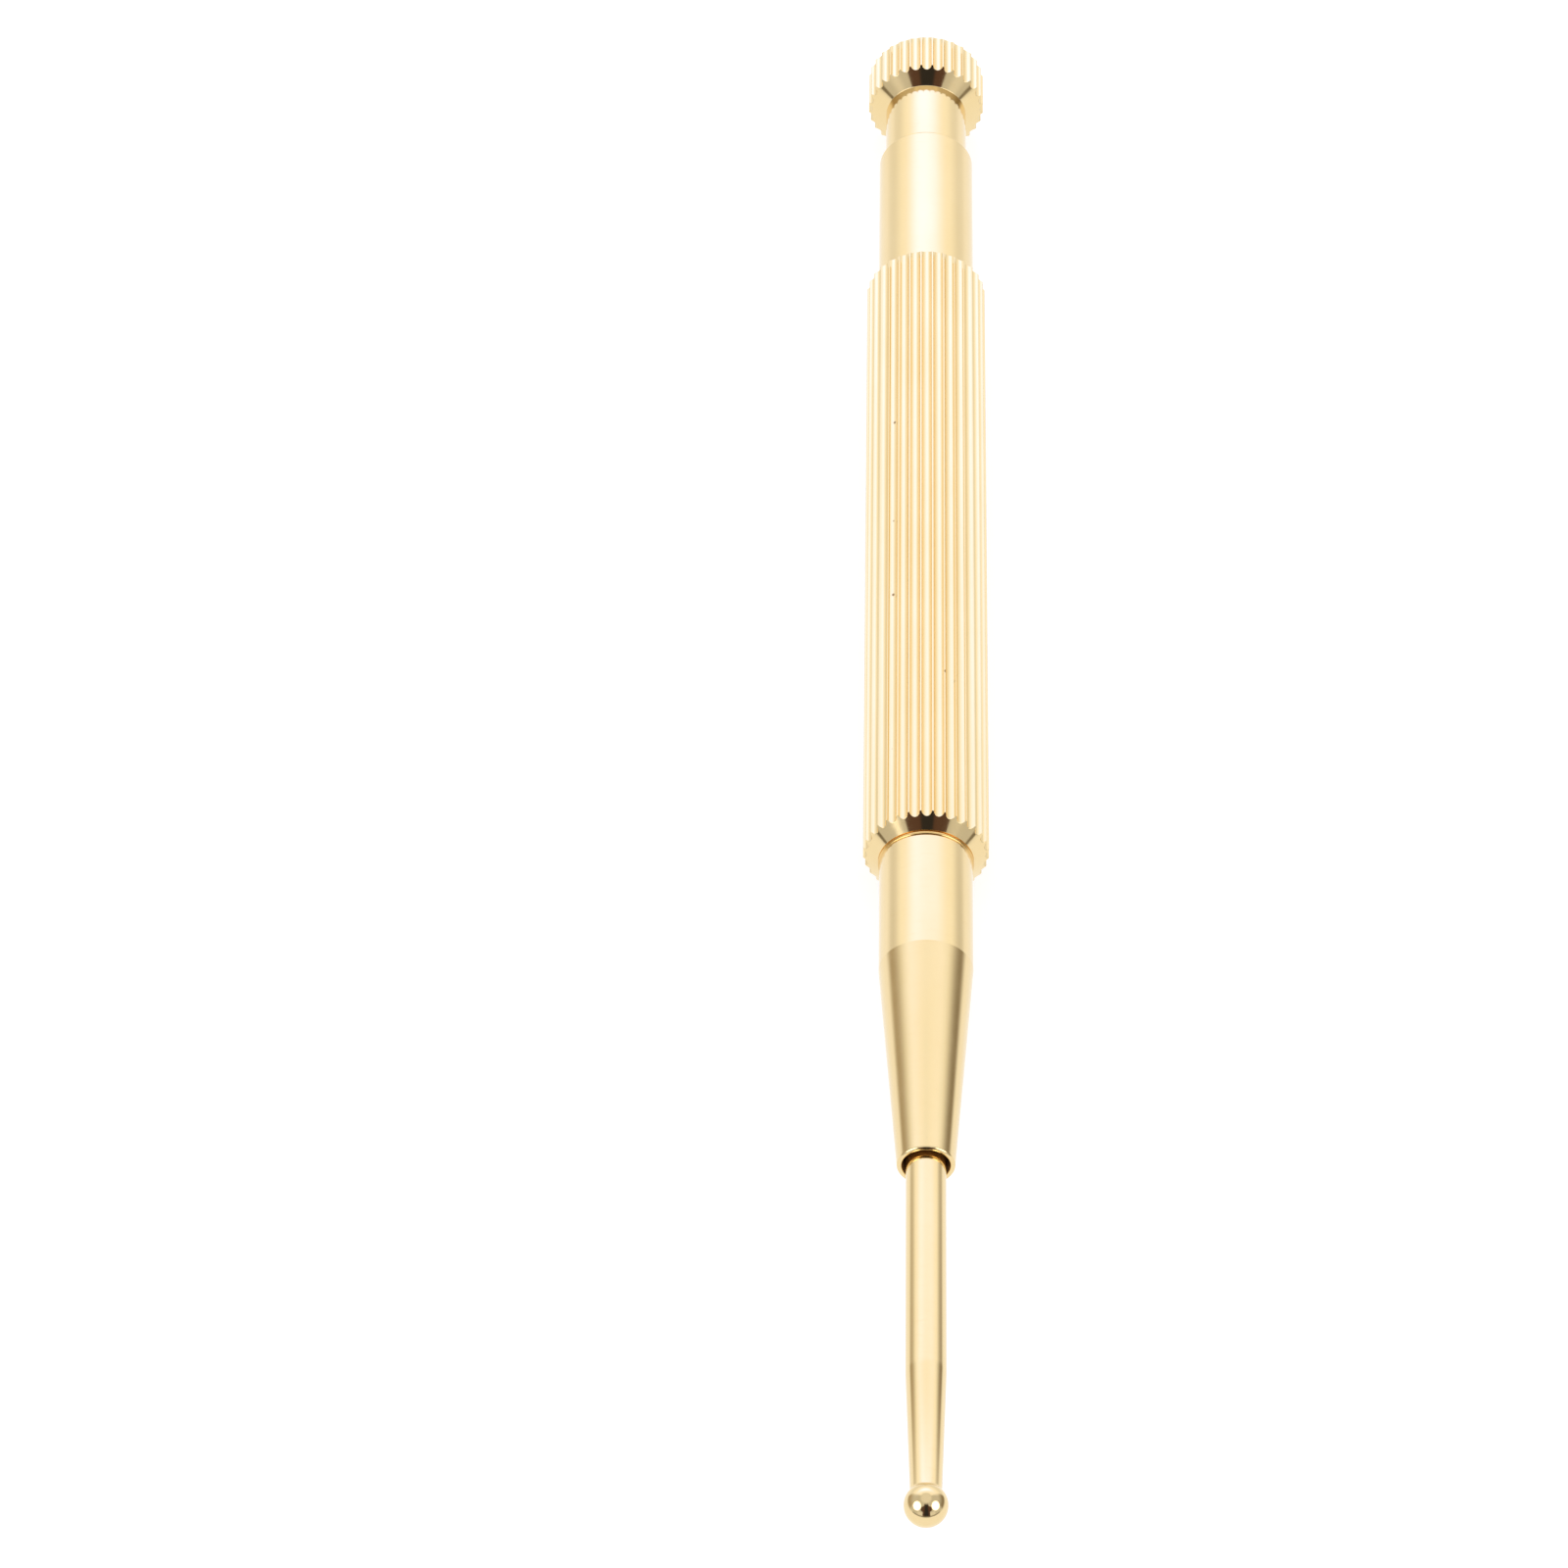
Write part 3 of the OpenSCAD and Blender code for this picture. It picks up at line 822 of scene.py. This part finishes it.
def add_room():
    """The studio as a soft world, which the metal mirrors: a plain tone with eight zones painted
    over it, each on top of those before it. The zones don't follow the camera. All angles are in
    degrees, and a height is the angle above the horizon."""
    world = bpy.data.worlds.new("studio")
    world.use_nodes = True
    bpy.context.scene.world = world
    n = Nodes(world.node_tree)
    background = n.tree.nodes["Background"]

    def rise(value, start, end):
        """0 before start and 1 past end, with a smooth step between. It falls if end is below
        start."""
        inputs = {"Value": value, "From Min": start, "From Max": end}
        ramp = n.add("ShaderNodeMapRange", inputs, interpolation_type="SMOOTHSTEP")
        return ramp.outputs["Result"]

    def both(*shares):
        """Where all the shares overlap."""
        total = shares[0]
        for share in shares[1:]:
            total = n.math("MULTIPLY", total, share)
        return total

    def bell(value, centre, width):
        """1 at the centre, falling to 1/e a width away."""
        offset = n.math("DIVIDE", n.math("SUBTRACT", value, centre), width)
        return n.math("EXPONENT", n.math("MULTIPLY", n.math("MULTIPLY", offset, offset), -1.0))

    def tinted(tint, level):
        return colour(*(c * level for c in tint))

    degrees = 180 / math.pi
    direction = n.add("ShaderNodeTexCoord").outputs["Generated"]
    x, y, z = n.add("ShaderNodeSeparateXYZ", {0: direction}).outputs
    # 0 degrees looks to the back of the table, and 180 to the camera's side
    side = n.math("MULTIPLY", n.math("ARCTAN2", x, y), degrees)
    around = n.math("ABSOLUTE", side)
    height = n.math("MULTIPLY", n.math("ARCSINE", z), degrees)
    # the zones in front are mirrored left to right about a line a little to one side of -Y
    turned_way = n.add(
        "ShaderNodeVectorRotate",
        {"Vector": direction, "Angle": math.radians(-1.5)},
        rotation_type="Z_AXIS",
    ).outputs[0]
    lamp_x, lamp_y, _ = n.add("ShaderNodeSeparateXYZ", {0: turned_way}).outputs
    lamp_x = n.math("ABSOLUTE", lamp_x)
    from_back = n.math("MULTIPLY", n.math("ARCTAN2", lamp_x, lamp_y), degrees)
    from_front = n.math("SUBTRACT", 180, from_back)

    white, warm, cool = (1.0, 1.0, 1.0), (1.0, 0.86, 0.66), (0.52, 0.61, 1.0)
    light = n.mix(rise(height, 58, 70), tinted(white, 0.60), tinted(white, 0.80))

    # a broad panel behind the tool, brighter above than at the horizon
    panel = both(rise(around, 64, 46), rise(height, 67, 57))
    panel_tone = n.mix(rise(height, 2, 22), tinted(white, 0.86), tinted(white, 1.05))
    light = n.mix(panel, light, panel_tone)

    # a dim warm band at either side, the darker on the +X side
    edge = both(rise(around, 45, 55), rise(around, 104, 92), rise(height, 33, -1))
    edge_tone = n.mix(rise(side, -20, 20), tinted(warm, 0.43), tinted(warm, 0.26))
    light = n.mix(edge, light, edge_tone)

    # a bluish glow in the middle of the panel
    glow_height = n.math("MINIMUM", bell(height, 38, 11), 1.0)
    glow = both(bell(side, -4, 32), glow_height, rise(height, 5, 30))
    light = n.mix(glow, light, tinted(cool, 2.35))

    # a round lamp at either side
    lamp_towards = (0.757, -0.420, 0.500)
    mirrored_way = n.add("ShaderNodeCombineXYZ", {0: lamp_x, 1: lamp_y, 2: z}).outputs[0]
    facing = n.vector_math("DOT_PRODUCT", mirrored_way, lamp_towards)["Value"]
    lamp = rise(facing, math.cos(math.radians(23)), math.cos(math.radians(19)))
    light = n.mix(lamp, light, tinted(white, 2.6))

    # a paler patch low in front
    low = both(rise(height, 15, 9), rise(height, -8, 0), rise(from_front, 46, 40))
    light = n.mix(low, light, tinted(white, 0.76))

    # a dark gap between the lamps, widest at their height, with a red-brown edge
    widening = both(rise(height, 15, 24), rise(height, 50, 38))
    gap_edge = n.math("SUBTRACT", from_front, n.math("MULTIPLY", widening, 14))
    gap = both(rise(gap_edge, 19, 17.2), rise(height, 66, 52))
    rust, soot = (1.0, 0.55, 0.42), (1.0, 0.92, 0.95)
    gap_tone = n.mix(rise(from_front, 8, 13), tinted(soot, 0.03), tinted(rust, 0.10))
    light = n.mix(gap, light, gap_tone)

    # the pale ground that stands in for the table, and a thin dim band just below the horizon
    light = n.mix(rise(height, -2, -18), light, tinted(white, 0.98))
    rim = both(rise(height, -11.8, -10.2), rise(height, -5.5, -7.5), rise(from_front, 70, 60))
    light = n.mix(rim, light, tinted(warm, 0.18))

    # the camera itself sees plain white behind the table
    is_camera = n.add("ShaderNodeLightPath").outputs["Is Camera Ray"]
    seen = n.mix(is_camera, light, tinted(white, 1.0))
    n.tree.links.new(seen, background.inputs["Color"])
    background.inputs["Strength"].default_value = 1.06


def add_top_light():
    """Lifts the table a little without showing in the metal."""
    data = bpy.data.lights.new("top_light", "AREA")
    data.shape, data.size, data.energy = "DISK", 1.2, 0.8
    light = bpy.data.objects.new("top_light", data)
    light.location = (0, 0.1, 1.2)
    light.visible_glossy = False
    light.visible_camera = False
    bpy.context.scene.collection.objects.link(light)


def set_scene():
    scene = bpy.context.scene
    scene.view_settings.view_transform = "Standard"
    scene.view_settings.look = "None"


add_camera()
build_probe_rod()
build_nose()
build_seam_ring()
build_grip()
build_tail()
build_knob()
build_spring()
paint_hidden_pieces()
add_floor()
add_room()
add_top_light()
set_scene()
